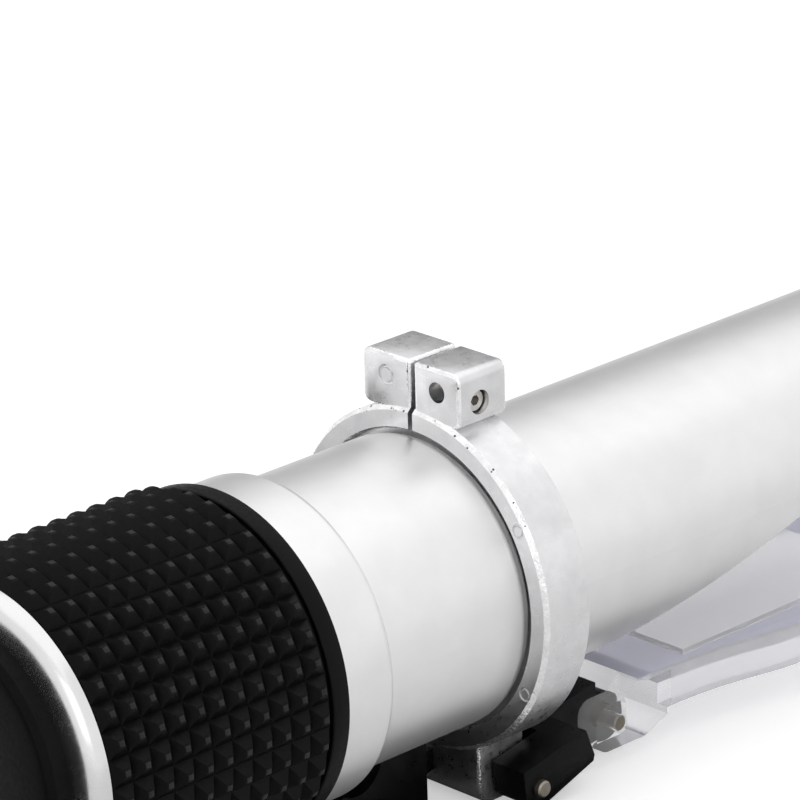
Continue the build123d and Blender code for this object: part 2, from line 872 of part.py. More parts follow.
# Objective lens in its cell, inside the housing's spigot
objective_front = objective_rear + objective_length
with BuildPart() as objective_cell:
    revolve(
        turned(
            (objective_radius + fit_gap, objective_rear),
            (housing_bore - fit_gap, objective_rear),
            (housing_bore - fit_gap, objective_front),
            (objective_lip, objective_front),
            (objective_lip, objective_front - objective_lip_length),
            (objective_radius + fit_gap, objective_front - objective_lip_length),
        ),
        axis=tube_axis,
    )
finish(objective_cell, "objective_cell")
objective_flat = objective_front - objective_lip_length - fit_gap
finish(crowned_lens(objective_radius, objective_flat, lens_edge, lens_crown, -1), "objective_lens")
finish(
    plain_ring(
        objective_radius,
        objective_radius - lens_land,
        objective_flat - lens_edge - retainer_length,
        objective_flat - lens_edge - fit_gap,
    ),
    "objective_retainer",
)

# Slotted calibration screw in the left side of the tube
with BuildPart() as calibration_screw:
    with BuildSketch(pin_plane(calibration_along, 0).offset(-calibration_foot)):
        Circle(calibration_radius)
    extrude(amount=calibration_foot - calibration_head)
    with BuildSketch(pin_plane(calibration_along, 0).offset(-calibration_head)):
        Rectangle(slot_width, 2 * calibration_radius + 1)
    extrude(amount=slot_depth, mode=Mode.SUBTRACT)
finish(calibration_screw, "calibration_screw")
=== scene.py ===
"""Brix refractometer: looks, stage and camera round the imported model.

Metres. The tube lies along Y with its eyecup at low Y, Z is up and the floor is at z = 0.
Laid out as an add-on, and run as a script.
"""

from math import cos, pi, radians, sin

import bmesh
import bpy
from mathutils import Matrix, Vector


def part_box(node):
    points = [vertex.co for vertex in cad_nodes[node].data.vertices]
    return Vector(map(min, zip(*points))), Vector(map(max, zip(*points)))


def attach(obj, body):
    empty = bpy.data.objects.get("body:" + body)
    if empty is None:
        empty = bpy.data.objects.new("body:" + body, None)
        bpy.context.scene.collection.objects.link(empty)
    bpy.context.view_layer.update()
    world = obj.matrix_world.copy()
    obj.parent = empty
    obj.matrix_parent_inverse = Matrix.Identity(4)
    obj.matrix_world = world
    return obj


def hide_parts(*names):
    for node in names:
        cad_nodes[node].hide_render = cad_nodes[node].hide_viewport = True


bl_info = {
    "name": "Brix Refractometer",
    "version": (1, 0, 0),
    "blender": (4, 5, 0),
    "location": "3D View > Sidebar > Refractometer",
    "description": "Dresses a handheld refractometer and sets it on a white studio floor",
    "category": "Object",
}

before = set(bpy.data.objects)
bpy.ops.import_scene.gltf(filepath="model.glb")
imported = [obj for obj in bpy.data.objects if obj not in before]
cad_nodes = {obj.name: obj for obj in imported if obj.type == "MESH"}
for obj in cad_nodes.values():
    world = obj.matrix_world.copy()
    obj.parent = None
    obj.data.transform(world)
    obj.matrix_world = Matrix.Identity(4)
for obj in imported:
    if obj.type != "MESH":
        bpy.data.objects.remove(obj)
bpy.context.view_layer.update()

tube_low, tube_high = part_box("main_tube")
grip_low, grip_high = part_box("rubber_grip")
collar_low, collar_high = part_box("stop_collar")
bezel_low, bezel_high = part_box("focus_bezel")
eyecup_low, eyecup_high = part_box("eyecup")
cam_low, cam_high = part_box("focus_cam")
ring_low, ring_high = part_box("ring_clamp")
screw_low, screw_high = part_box("clamp_screw")
pin_low, pin_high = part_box("link_pin")
plate_low, plate_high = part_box("daylight_plate")

millimetre = 0.001
seat_gap = 0.02 * millimetre
axis_height = (tube_low.z + tube_high.z) / 2
tube_radius = tube_high.x
grip_bore = tube_radius + seat_gap

# The clamp ring sits on the housing's collar, which stands a little proud of the tube
housing_collar_rise = 0.27 * millimetre
ring_bore = tube_radius + housing_collar_rise + seat_gap
ring_radius = -ring_low.x
ring_rear = ring_low.y
lug_rear = ring_rear + 0.32 * millimetre

# Steps of a turned piece's circle, and the clamp ring's material slot for its rubbed edges, which
# also carries a painted highlight
round_steps = 192
worn_highlit_slot = 1

# A stud's section from foot to tip: share of its height, then share of the way to the tip's width
stud_section = ((0.35, 0.42), (0.8, 0.86), (0.96, 1.15), (1.0, 1.3))


# Settings a user would change


class StageSettings(bpy.types.PropertyGroup):
    camera_place: bpy.props.FloatVectorProperty(
        name="Camera place",
        description="Where the camera stands",
        subtype="TRANSLATION",
        unit="LENGTH",
        default=(0.33274, -0.31311, 0.21345),
    )
    camera_turn: bpy.props.FloatVectorProperty(
        name="Camera turn",
        description="How the camera is turned, about X, then Y, then Z",
        subtype="EULER",
        unit="ROTATION",
        default=(radians(69.084), radians(1.644), radians(45.751)),
    )
    camera_lens: bpy.props.FloatProperty(
        name="Lens",
        description="Focal length on a 36 mm sensor",
        default=255.76,
        unit="CAMERA",
    )
    key_power: bpy.props.FloatProperty(
        name="Key power",
        description="Power of the overhead softbox",
        default=0.7,
        min=0,
        unit="POWER",
    )
    fill_power: bpy.props.FloatProperty(
        name="Fill power",
        description="Power of the softbox beside the camera",
        default=0.35,
        min=0,
        unit="POWER",
    )
    room_light: bpy.props.FloatProperty(
        name="Room light",
        description="Strength of the plain white surroundings",
        default=0.7,
        min=0,
    )
    floor_glow: bpy.props.FloatProperty(
        name="Floor glow",
        description="What the sheet adds for the camera to be white",
        default=0.42,
        min=0,
    )
    floor_colour: bpy.props.FloatVectorProperty(
        name="Floor colour",
        description="Colour of the sheet",
        subtype="COLOR",
        default=(0.9, 0.9, 0.9),
    )


class BarrelSettings(bpy.types.PropertyGroup):
    colour: bpy.props.FloatVectorProperty(
        name="Metal colour",
        description="Colour of the anodised tube",
        subtype="COLOR",
        default=(0.82, 0.82, 0.82),
    )
    roughness: bpy.props.FloatProperty(
        name="Roughness",
        description="How satin the tube is",
        default=0.42,
        min=0,
        max=1,
        subtype="FACTOR",
    )


class ClampSettings(bpy.types.PropertyGroup):
    colour: bpy.props.FloatVectorProperty(
        name="Casting colour",
        description="Colour of the plated clamp ring",
        subtype="COLOR",
        default=(0.76, 0.76, 0.77),
    )
    # The edges' colour is brighter than the casting, partly for wear and partly as a painted
    # highlight
    edge_wear_and_highlight_colour: bpy.props.FloatVectorProperty(
        name="Edge colour",
        description="Colour of the casting's worn edges and their painted highlights",
        subtype="COLOR",
        default=(0.9, 0.9, 0.91),
    )
    edge_rounding: bpy.props.FloatProperty(
        name="Edge rounding",
        description="How far the lugs' edges are rounded",
        default=0.3 * millimetre,
        min=0,
        unit="LENGTH",
    )
    lug_left: bpy.props.FloatProperty(
        name="Left lug",
        description="How far the left lug reaches from the middle",
        default=6.6 * millimetre,
        unit="LENGTH",
    )
    lug_right: bpy.props.FloatProperty(
        name="Right lug",
        description="How far the right lug reaches from the middle",
        default=5.4 * millimetre,
        unit="LENGTH",
    )
    split_place: bpy.props.FloatProperty(
        name="Split place",
        description="Where the split runs, from the middle",
        default=-0.42 * millimetre,
        unit="LENGTH",
    )
    split_width: bpy.props.FloatProperty(
        name="Split width",
        description="Width of the split",
        default=0.54 * millimetre,
        min=0,
        unit="LENGTH",
    )


class GripSettings(bpy.types.PropertyGroup):
    colour: bpy.props.FloatVectorProperty(
        name="Rubber colour",
        description="Colour of the grip",
        subtype="COLOR",
        default=(0.002, 0.002, 0.0021),
    )
    # Painted highlight: the colour that the studs' flat tips are painted in
    tip_highlight_colour: bpy.props.FloatVectorProperty(
        name="Tip colour",
        description="Colour of the studs' painted tip highlights",
        subtype="COLOR",
        default=(0.012, 0.012, 0.012),
    )
    stud_rows: bpy.props.IntProperty(
        name="Stud rows",
        description="Rows of studs along the grip",
        default=11,
        min=1,
    )
    studs_around: bpy.props.IntProperty(
        name="Studs around",
        description="Studs in one row",
        default=40,
        min=6,
    )
    stud_tip: bpy.props.FloatProperty(
        name="Stud tip",
        description="Width of a stud's flat top",
        default=0.75 * millimetre,
        min=0,
        unit="LENGTH",
    )
    stud_height: bpy.props.FloatProperty(
        name="Stud height",
        description="Height of a stud over its valleys",
        default=0.9 * millimetre,
        min=0,
        unit="LENGTH",
    )
    lip_width: bpy.props.FloatProperty(
        name="Lip width",
        description="Width of the smooth lip in front",
        default=1.9 * millimetre,
        min=0,
        unit="LENGTH",
    )
    lip_groove: bpy.props.FloatProperty(
        name="Lip groove",
        description="Width of the groove between the studs and the lip",
        default=0.35 * millimetre,
        min=0,
        unit="LENGTH",
    )
    lip_step: bpy.props.FloatProperty(
        name="Lip step",
        description="How far the lip stays under the studs' tips",
        default=0.65 * millimetre,
        min=0,
        unit="LENGTH",
    )


class EyepieceSettings(bpy.types.PropertyGroup):
    bezel_colour: bpy.props.FloatVectorProperty(
        name="Bezel colour",
        description="Colour of the bright ring",
        subtype="COLOR",
        default=(0.74, 0.74, 0.74),
    )
    rubber_colour: bpy.props.FloatVectorProperty(
        name="Eyecup colour",
        description="Colour of the eyecup",
        subtype="COLOR",
        default=(0.0025, 0.0028, 0.003),
    )
    neck_radius: bpy.props.FloatProperty(
        name="Neck radius",
        description="Radius of the eyecup's neck",
        default=12.9 * millimetre,
        unit="LENGTH",
    )
    flange_width: bpy.props.FloatProperty(
        name="Flange width",
        description="Width of the flange at the bezel",
        default=1.6 * millimetre,
        unit="LENGTH",
    )
    groove_depth: bpy.props.FloatProperty(
        name="Groove depth",
        description="Depth of the groove behind it",
        default=0.55 * millimetre,
        unit="LENGTH",
    )
    wall: bpy.props.FloatProperty(
        name="Wall",
        description="Thickness of the flared wall",
        default=1.5 * millimetre,
        unit="LENGTH",
    )


class PlateSettings(bpy.types.PropertyGroup):
    wall_tint: bpy.props.FloatVectorProperty(
        name="Wall tint",
        description="Tint of the plate's side walls",
        subtype="COLOR",
        default=(0.95, 0.95, 0.97),
    )
    # Painted shade: the recessed band is darker and bluer than the rest of the same moulding
    band_painted_shade: bpy.props.FloatVectorProperty(
        name="Band tint",
        description="Painted shade on the flat band round the pad",
        subtype="COLOR",
        default=(0.63, 0.63, 0.76),
    )
    pad_tint: bpy.props.FloatVectorProperty(
        name="Pad tint",
        description="Tint of the raised pad",
        subtype="COLOR",
        default=(0.92, 0.92, 0.95),
    )


class LinkSettings(bpy.types.PropertyGroup):
    colour: bpy.props.FloatVectorProperty(
        name="Plastic colour",
        description="Colour of the link and the foot",
        subtype="COLOR",
        default=(0.002, 0.002, 0.0022),
    )
    edge_rounding: bpy.props.FloatProperty(
        name="Edge rounding",
        description="How far the moulding's edges are rounded",
        default=0.14 * millimetre,
        unit="LENGTH",
    )


# Modelling helpers


def deselect():
    bpy.ops.object.select_all(action="DESELECT")


def activate(piece):
    """Make a piece the only selected one."""
    deselect()
    piece.select_set(True)
    bpy.context.view_layer.objects.active = piece


def edit(piece, elements="FACE"):
    """Enter edit mode on a piece with nothing selected."""
    activate(piece)
    bpy.ops.object.mode_set(mode="EDIT")
    bpy.ops.mesh.select_mode(type=elements)
    bpy.ops.mesh.select_all(action="DESELECT")


def leave():
    bpy.ops.object.mode_set(mode="OBJECT")


def pick(piece, elements, wanted):
    """In edit mode, select the points, edges or faces for which wanted(element) holds."""
    mesh = bmesh.from_edit_mesh(piece.data)
    for element in getattr(mesh, elements):
        element.select_set(bool(wanted(element)))
    mesh.select_flush_mode()
    bmesh.update_edit_mesh(piece.data)


def runs_along(edge, axis):
    """Whether an edge runs along one axis."""
    start, end = (point.co for point in edge.verts)
    others = "xyz".replace(axis, "")
    return all(abs(getattr(start, other) - getattr(end, other)) < 1e-6 for other in others)


def lies_at_y(edge, place):
    """Whether both ends of an edge lie at one place along the tube."""
    return all(abs(point.co.y - place) < 0.01 * millimetre for point in edge.verts)


def apply_modifier(piece, modifier):
    activate(piece)
    bpy.ops.object.modifier_apply(modifier=modifier.name)


def merge_and_face_out(piece):
    """Merge doubled points and turn all faces outwards."""
    edit(piece)
    bpy.ops.mesh.select_all(action="SELECT")
    bpy.ops.mesh.remove_doubles(threshold=1e-6)
    bpy.ops.mesh.normals_make_consistent(inside=False)
    leave()


def round_edges(piece, width, segments=3, material=-1):
    """Round every edge sharper than 30 degrees, in the piece's own material or a given slot."""
    bevel = piece.modifiers.new("rounding", "BEVEL")
    bevel.width = width
    bevel.segments = segments
    bevel.limit_method = "ANGLE"
    bevel.angle_limit = radians(30)
    bevel.material = material
    apply_modifier(piece, bevel)


def smooth(piece, angle):
    activate(piece)
    bpy.ops.object.shade_smooth_by_angle(angle=radians(angle))


def repeat(piece, name, count, **offset):
    """Repeat a piece in an array whose copies merge where they meet."""
    array = piece.modifiers.new(name, "ARRAY")
    array.count = count
    array.use_relative_offset = False
    array.use_merge_vertices = True
    array.merge_threshold = 1e-5
    for label, value in offset.items():
        setattr(array, label, value)
    apply_modifier(piece, array)


def turned_piece(name, outline):
    """Closed ring on the tube's axis: a circle drawn from point to point of (radius, y)."""
    deselect()
    radius, place = outline[0]
    bpy.ops.mesh.primitive_circle_add(
        vertices=round_steps,
        radius=radius,
        location=(0, place, axis_height),
        rotation=(pi / 2, 0, 0),
    )
    piece = bpy.context.object
    piece.name = name
    bpy.ops.object.transform_apply()
    edit(piece, "EDGE")
    bpy.ops.mesh.select_all(action="SELECT")
    for next_radius, next_place in outline[1:] + outline[:1]:
        bpy.ops.mesh.extrude_edges_move(
            TRANSFORM_OT_translate={"value": (0, next_place - place, 0)}
        )
        bpy.ops.transform.resize(
            value=(next_radius / radius, 1, next_radius / radius),
            center_override=(0, next_place, axis_height),
        )
        radius, place = next_radius, next_place
    leave()
    merge_and_face_out(piece)
    return piece


def block(name, low, high):
    """A block between two corners, to be rounded and joined to its piece or cut out of it."""
    deselect()
    low, high = Vector(low), Vector(high)
    middle = (low + high) / 2
    bpy.ops.mesh.primitive_cube_add(size=1, location=middle)
    piece = bpy.context.object
    piece.name = name
    bpy.ops.transform.resize(value=high - low, center_override=middle)
    bpy.ops.object.transform_apply()
    return piece


def rod(name, radius, middle, length, along):
    """A round rod along X or Y, to be cut out of a piece."""
    deselect()
    turn = {"X": (0, pi / 2, 0), "Y": (pi / 2, 0, 0)}[along]
    bpy.ops.mesh.primitive_cylinder_add(
        vertices=48, radius=radius, depth=length, location=middle, rotation=turn
    )
    piece = bpy.context.object
    piece.name = name
    bpy.ops.object.transform_apply()
    return piece


def hoop(name, radius, thickness, middle):
    """A thin hoop square to Y, to be cut out of a piece as a round mark."""
    deselect()
    bpy.ops.mesh.primitive_torus_add(
        major_segments=32,
        minor_segments=8,
        major_radius=radius,
        minor_radius=thickness,
        location=middle,
        rotation=(pi / 2, 0, 0),
    )
    piece = bpy.context.object
    piece.name = name
    bpy.ops.object.transform_apply()
    return piece


def combine(piece, other, operation):
    """Join another piece to this one or cut it out, and drop the other piece."""
    blend = piece.modifiers.new("combine", "BOOLEAN")
    blend.operation = operation
    blend.solver = "EXACT"
    blend.object = other
    apply_modifier(piece, blend)
    bpy.data.objects.remove(other)


def copy_of(node, name):
    """A merged copy of a CAD node's mesh, to be finished by hand."""
    piece = bpy.data.objects.new(name, cad_nodes[node].data.copy())
    bpy.context.scene.collection.objects.link(piece)
    piece.data.materials.clear()
    activate(piece)
    bpy.ops.mesh.customdata_custom_splitnormals_clear()
    merge_and_face_out(piece)
    edit(piece)
    bpy.ops.mesh.select_all(action="SELECT")
    bpy.ops.mesh.dissolve_limited(angle_limit=radians(0.5))
    leave()
    return piece


def paint(piece, *materials):
    """Fill a piece's material slots."""
    piece.data.materials.clear()
    for material in materials:
        piece.data.materials.append(material)


def carry(piece, body, slot, material, *nodes):
    """Dress a finished piece and let it ride on its body in place of its CAD nodes."""
    if not piece.data.materials:
        piece.data.materials.append(material)
    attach(piece, body)
    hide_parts(*nodes)


def dress(material, *nodes):
    """Give CAD nodes whose shape is right their material."""
    for node in nodes:
        slots = cad_nodes[node].data.materials
        if slots:
            for index in range(len(slots)):
                slots[index] = material
        else:
            slots.append(material)


# Materials


def node_group(name, inputs, outputs):
    """An empty shader node group with its named sockets."""
    group = bpy.data.node_groups.new(name, "ShaderNodeTree")
    for label, default in inputs:
        socket = group.interface.new_socket(
            name=label, in_out="INPUT", socket_type="NodeSocketFloat"
        )
        socket.default_value = default
    for label in outputs:
        group.interface.new_socket(name=label, in_out="OUTPUT", socket_type="NodeSocketFloat")
    return group


def add_node(tree, kind, place, **values):
    """A node at a place of the graph, its properties or inputs set by name."""
    made = tree.nodes.new(kind)
    made.location = place
    for name, value in values.items():
        if hasattr(made, name):
            setattr(made, name, value)
        else:
            made.inputs[name.replace("_", " ")].default_value = value
    return made


def surface_grain():
    """Fine grain and broad mottling on Object coordinates."""
    group = node_group(
        "Surface Grain",
        (("Grain Size", 2000.0), ("Mottle Size", 150.0)),
        ("Grain", "Mottle"),
    )
    coords = add_node(group, "ShaderNodeTexCoord", (-800, 0))
    start = add_node(group, "NodeGroupInput", (-800, -300))
    grain = add_node(group, "ShaderNodeTexNoise", (-400, 150), Detail=2.0, Roughness=0.55)
    mottle = add_node(group, "ShaderNodeTexNoise", (-400, -150), Detail=3.0, Roughness=0.5)
    end = add_node(group, "NodeGroupOutput", (0, 0))
    group.links.new(coords.outputs["Object"], grain.inputs["Vector"])
    group.links.new(coords.outputs["Object"], mottle.inputs["Vector"])
    group.links.new(start.outputs["Grain Size"], grain.inputs["Scale"])
    group.links.new(start.outputs["Mottle Size"], mottle.inputs["Scale"])
    group.links.new(grain.outputs["Fac"], end.inputs["Grain"])
    group.links.new(mottle.outputs["Fac"], end.inputs["Mottle"])
    return group


def specks():
    """Scattered pits and nicks: a mask that is 1 in small round spots."""
    group = node_group(
        "Specks",
        (("Spacing", 300.0), ("Spot Size", 0.06), ("Share", 0.3)),
        ("Mask",),
    )
    coords = add_node(group, "ShaderNodeTexCoord", (-1000, 0))
    start = add_node(group, "NodeGroupInput", (-1000, -300))
    cells = add_node(group, "ShaderNodeTexVoronoi", (-700, 0))
    near = add_node(group, "ShaderNodeMath", (-400, 150), operation="LESS_THAN")
    apart = add_node(group, "ShaderNodeSeparateColor", (-500, -150))
    chosen = add_node(group, "ShaderNodeMath", (-300, -150), operation="LESS_THAN")
    both = add_node(group, "ShaderNodeMath", (-100, 0), operation="MULTIPLY")
    end = add_node(group, "NodeGroupOutput", (100, 0))
    group.links.new(coords.outputs["Object"], cells.inputs["Vector"])
    group.links.new(start.outputs["Spacing"], cells.inputs["Scale"])
    group.links.new(cells.outputs["Distance"], near.inputs[0])
    group.links.new(start.outputs["Spot Size"], near.inputs[1])
    group.links.new(cells.outputs["Color"], apart.inputs[0])
    group.links.new(apart.outputs[0], chosen.inputs[0])
    group.links.new(start.outputs["Share"], chosen.inputs[1])
    group.links.new(near.outputs[0], both.inputs[0])
    group.links.new(chosen.outputs[0], both.inputs[1])
    group.links.new(both.outputs[0], end.inputs["Mask"])
    return group


def place_group(tree, name, build, place, **values):
    """A node group in a material, built the first time, its inputs set by name."""
    holder = tree.nodes.new("ShaderNodeGroup")
    holder.node_tree = bpy.data.node_groups.get(name) or build()
    holder.location = place
    for label, value in values.items():
        holder.inputs[label.replace("_", " ")].default_value = value
    return holder


def plain_material(name, colour, roughness, metallic=0.0):
    """A Principled material with its constant values on its own sockets."""
    material = bpy.data.materials.new(name)
    material.use_nodes = True
    shader = material.node_tree.nodes["Principled BSDF"]
    shader.inputs["Base Color"].default_value = (*colour, 1)
    shader.inputs["Roughness"].default_value = roughness
    shader.inputs["Metallic"].default_value = metallic
    return material, material.node_tree, shader


def grained_material(
    name,
    colour,
    roughness,
    metallic=0.0,
    *,
    tone,
    spread,
    grain_size,
    mottle_size,
    depth,
    strength,
):
    """A material whose grain varies its colour by tone, its roughness by spread and its bump."""
    material, tree, shader = plain_material(name, colour, roughness, metallic)
    surface = place_group(
        tree,
        "Surface Grain",
        surface_grain,
        (-900, 0),
        Grain_Size=grain_size,
        Mottle_Size=mottle_size,
    )
    # The noise stays mostly between these two values
    darkest, lightest = 0.3, 0.7
    shades = add_node(tree, "ShaderNodeValToRGB", (-600, 200))
    dark_end, light_end = shades.color_ramp.elements
    dark_end.position = darkest
    dark_end.color = (*(channel * (1 - tone) for channel in colour), 1)
    light_end.position = lightest
    light_end.color = (*(min(1, channel * (1 + tone)) for channel in colour), 1)
    shine = add_node(tree, "ShaderNodeMapRange", (-600, -100))
    shine.inputs["From Min"].default_value = darkest
    shine.inputs["From Max"].default_value = lightest
    shine.inputs["To Min"].default_value = roughness - spread
    shine.inputs["To Max"].default_value = roughness + spread
    bump = add_node(tree, "ShaderNodeBump", (-300, -300), Strength=strength, Distance=depth)
    tree.links.new(surface.outputs["Mottle"], shades.inputs["Fac"])
    tree.links.new(surface.outputs["Grain"], shine.inputs["Value"])
    tree.links.new(surface.outputs["Grain"], bump.inputs["Height"])
    tree.links.new(shades.outputs["Color"], shader.inputs["Base Color"])
    tree.links.new(shine.outputs["Result"], shader.inputs["Roughness"])
    tree.links.new(bump.outputs["Normal"], shader.inputs["Normal"])
    return material, tree, shader


def darken_in_specks(tree, shader, shade, **spots):
    """Mix a dark shade into the shader's linked colour in scattered specks."""
    colour = shader.inputs["Base Color"].links[0].from_socket
    spotted = place_group(tree, "Specks", specks, (-900, 400), **spots)
    darken = add_node(tree, "ShaderNodeMix", (-300, 250), data_type="RGBA")
    darken.inputs["B"].default_value = (shade, shade, shade, 1)
    tree.links.new(spotted.outputs["Mask"], darken.inputs["Factor"])
    tree.links.new(colour, darken.inputs["A"])
    tree.links.new(darken.outputs["Result"], shader.inputs["Base Color"])


def satin_aluminium(colour, roughness):
    """Bead-blasted and anodised: even grain, faint mottling and a few dark pits."""
    material, tree, shader = grained_material(
        "satin_aluminium",
        colour,
        roughness,
        1.0,
        tone=0.025,
        spread=0.05,
        grain_size=5200,
        mottle_size=260,
        depth=0.02 * millimetre,
        strength=0.25,
    )
    darken_in_specks(tree, shader, 0.3, Spacing=210.0, Spot_Size=0.035, Share=0.12)
    return material


def plated_casting(colour):
    """Die-cast skin under bright plating."""
    material, _, _ = grained_material(
        "plated_casting",
        colour,
        0.32,
        1.0,
        tone=0.06,
        spread=0.06,
        grain_size=1800,
        mottle_size=500,
        depth=0.002 * millimetre,
        strength=0.02,
    )
    return material


def worn_edge(colour):
    """The casting's rubbed edges: brighter, partly for wear and partly as a painted highlight,
    with dark nicks.
    """
    material, tree, shader = grained_material(
        "worn_edge",
        colour,
        0.24,
        1.0,
        tone=0.12,
        spread=0.1,
        grain_size=2600,
        mottle_size=900,
        depth=0.12 * millimetre,
        strength=0.5,
    )
    darken_in_specks(tree, shader, 0.08, Spacing=3200.0, Spot_Size=0.36, Share=0.08)
    return material


def bright_metal(colour):
    """Polished ring with faint turning marks."""
    material, _, _ = grained_material(
        "bright_bezel",
        colour,
        0.24,
        1.0,
        tone=0.02,
        spread=0.04,
        grain_size=1500,
        mottle_size=200,
        depth=0.01 * millimetre,
        strength=0.1,
    )
    return material


def turned_metal(name, colour, roughness):
    """Steel or brass off the lathe."""
    material, _, _ = grained_material(
        name,
        colour,
        roughness,
        1.0,
        tone=0.12,
        spread=0.08,
        grain_size=3000,
        mottle_size=900,
        depth=0.03 * millimetre,
        strength=0.3,
    )
    return material


def moulded_rubber(name, colour, roughness):
    """Matt rubber with next to no gloss."""
    material, _, shader = grained_material(
        name,
        colour,
        roughness,
        tone=0.25,
        spread=0.08,
        grain_size=2400,
        mottle_size=300,
        depth=0.05 * millimetre,
        strength=0.3,
    )
    shader.inputs["Specular IOR Level"].default_value = 0.1
    return material


def worn_rubber(colour):
    """Painted highlight on the studs' tips: greyer than the rubber round them, and a little
    shinier.
    """
    material, _, shader = grained_material(
        "worn_rubber",
        colour,
        0.5,
        tone=0.4,
        spread=0.08,
        grain_size=2400,
        mottle_size=500,
        depth=0.03 * millimetre,
        strength=0.3,
    )
    shader.inputs["Specular IOR Level"].default_value = 0.25
    return material


def moulded_plastic(name, colour, roughness):
    """Matt plastic out of a lightly grained mould."""
    material, _, shader = grained_material(
        name,
        colour,
        roughness,
        tone=0.2,
        spread=0.07,
        grain_size=1800,
        mottle_size=260,
        depth=0.03 * millimetre,
        strength=0.25,
    )
    shader.inputs["Specular IOR Level"].default_value = 0.12
    return material


def clear_material(name, tint, roughness, clearness, index, mottle_size, unevenness):
    """A see-through material with a faintly uneven polish."""
    material, tree, shader = plain_material(name, tint, roughness)
    shader.inputs["Transmission Weight"].default_value = clearness
    shader.inputs["IOR"].default_value = index
    surface = place_group(
        tree, "Surface Grain", surface_grain, (-900, 0), Mottle_Size=mottle_size
    )
    bump = add_node(
        tree,
        "ShaderNodeBump",
        (-300, -300),
        Strength=unevenness,
        Distance=0.1 * millimetre,
    )
    tree.links.new(surface.outputs["Mottle"], bump.inputs["Height"])
    tree.links.new(bump.outputs["Normal"], shader.inputs["Normal"])
    return material


def optical_glass(name, tint, index, roughness):
    return clear_material(name, tint, roughness, 1.0, index, 120.0, 0.06)


def milky_plastic(name, tint, clearness, index=1.2):
    """Clear plastic whose scattered light hides part of what lies behind it."""
    return clear_material(name, tint, 0.14, clearness, index, 140.0, 0.08)


def steel():
    """The one steel that the screws of several pieces share."""
    name = "steel"
    return bpy.data.materials.get(name) or turned_metal(name, (0.3, 0.29, 0.28), 0.35)


def matt_black():
    """The one black finish that the inner tubes and rings share."""
    name = "matt_black"
    return bpy.data.materials.get(name) or moulded_plastic(name, (0.02, 0.02, 0.02), 0.7)


def seen_rays(tree):
    """An output that is 1 for rays from the camera and for reflected and refracted ones."""
    path = add_node(tree, "ShaderNodeLightPath", (-900, -300))
    seen = add_node(tree, "ShaderNodeMath", (-650, -300), operation="MAXIMUM")
    either = add_node(tree, "ShaderNodeMath", (-450, -300), operation="MAXIMUM")
    tree.links.new(path.outputs["Is Camera Ray"], seen.inputs[0])
    tree.links.new(path.outputs["Is Glossy Ray"], seen.inputs[1])
    tree.links.new(seen.outputs[0], either.inputs[0])
    tree.links.new(path.outputs["Is Transmission Ray"], either.inputs[1])
    return either.outputs[0]


# Clamp ring


def split_sides(clamp):
    """Where the split's left and right sides lie."""
    half = clamp.split_width / 2
    return clamp.split_place - half, clamp.split_place + half


def clamp_band(casting, worn):
    """The ring's turned band, its sloping chamfers worn and painted with a highlight."""
    front = ring_rear + 5.66 * millimetre
    chamfer = 0.4 * millimetre
    bore_chamfer = 0.15 * millimetre
    band = turned_piece(
        "clamp_ring_casting",
        [
            (ring_bore, ring_rear + bore_chamfer),
            (ring_bore, front),
            (ring_radius - chamfer, front),
            (ring_radius, front - chamfer),
            (ring_radius, ring_rear + chamfer),
            (ring_radius - chamfer, ring_rear),
            (ring_bore + bore_chamfer, ring_rear),
        ],
    )
    paint(band, casting, worn)
    # Every sloping chamfer takes the brighter edge material: wear and a painted highlight
    for face in band.data.polygons:
        if 0.1 < abs(face.normal.y) < 0.99:
            face.material_index = worn_highlit_slot
    return band


def cut_split(ring, clamp):
    """Cut the band through on top, between the two screw lugs."""
    left, right = split_sides(clamp)
    past_front = ring_rear + 7 * millimetre
    past_top = axis_height + 22 * millimetre
    split = block(
        "split",
        (left, ring_rear - millimetre, axis_height),
        (right, past_front, past_top),
    )
    combine(ring, split, "DIFFERENCE")


def add_lug(ring, name, low, high, corner, radius, steps, edge_rounding):
    """Join a block to the ring, rounded at the edges for which corner(edge) holds."""
    lug = block(name, low, high)
    paint(lug, *ring.data.materials)
    edit(lug, "EDGE")
    pick(lug, "edges", corner)
    bpy.ops.mesh.bevel(offset=radius, segments=steps)
    leave()
    # The lugs' rounded edges take the brighter edge material: wear and a painted highlight
    round_edges(lug, edge_rounding, material=worn_highlit_slot)
    combine(ring, lug, "UNION")


def add_screw_lugs(ring, clamp):
    """Two lugs on top, one on each side of the split, that the screw draws together."""
    split_left, split_right = split_sides(clamp)
    front = ring_rear + 6.16 * millimetre
    foot = axis_height + 15.1 * millimetre
    top = ring_high.z - 0.05 * millimetre
    for name, left, right, outer in (
        ("left_lug", -clamp.lug_left, split_left, -clamp.lug_left),
        ("right_lug", split_right, clamp.lug_right, clamp.lug_right),
    ):
        add_lug(
            ring,
            name,
            (left, lug_rear, foot),
            (right, front, top),
            lambda edge: runs_along(edge, "y") and abs(edge.verts[0].co.x - outer) < 1e-6,
            0.9 * millimetre,
            6,
            clamp.edge_rounding,
        )


def add_hinge_lug(ring, clamp):
    """The wide lug below, between the link's cheeks."""
    half = 6.54 * millimetre
    rear = ring_rear + 0.45 * millimetre
    head = axis_height - ring_bore
    add_lug(
        ring,
        "hinge_lug",
        (-half, rear, ring_low.z),
        (half, ring_high.y, head),
        lambda edge: runs_along(edge, "x") and edge.verts[0].co.z < head - millimetre,
        1.66 * millimetre,
        8,
        clamp.edge_rounding,
    )


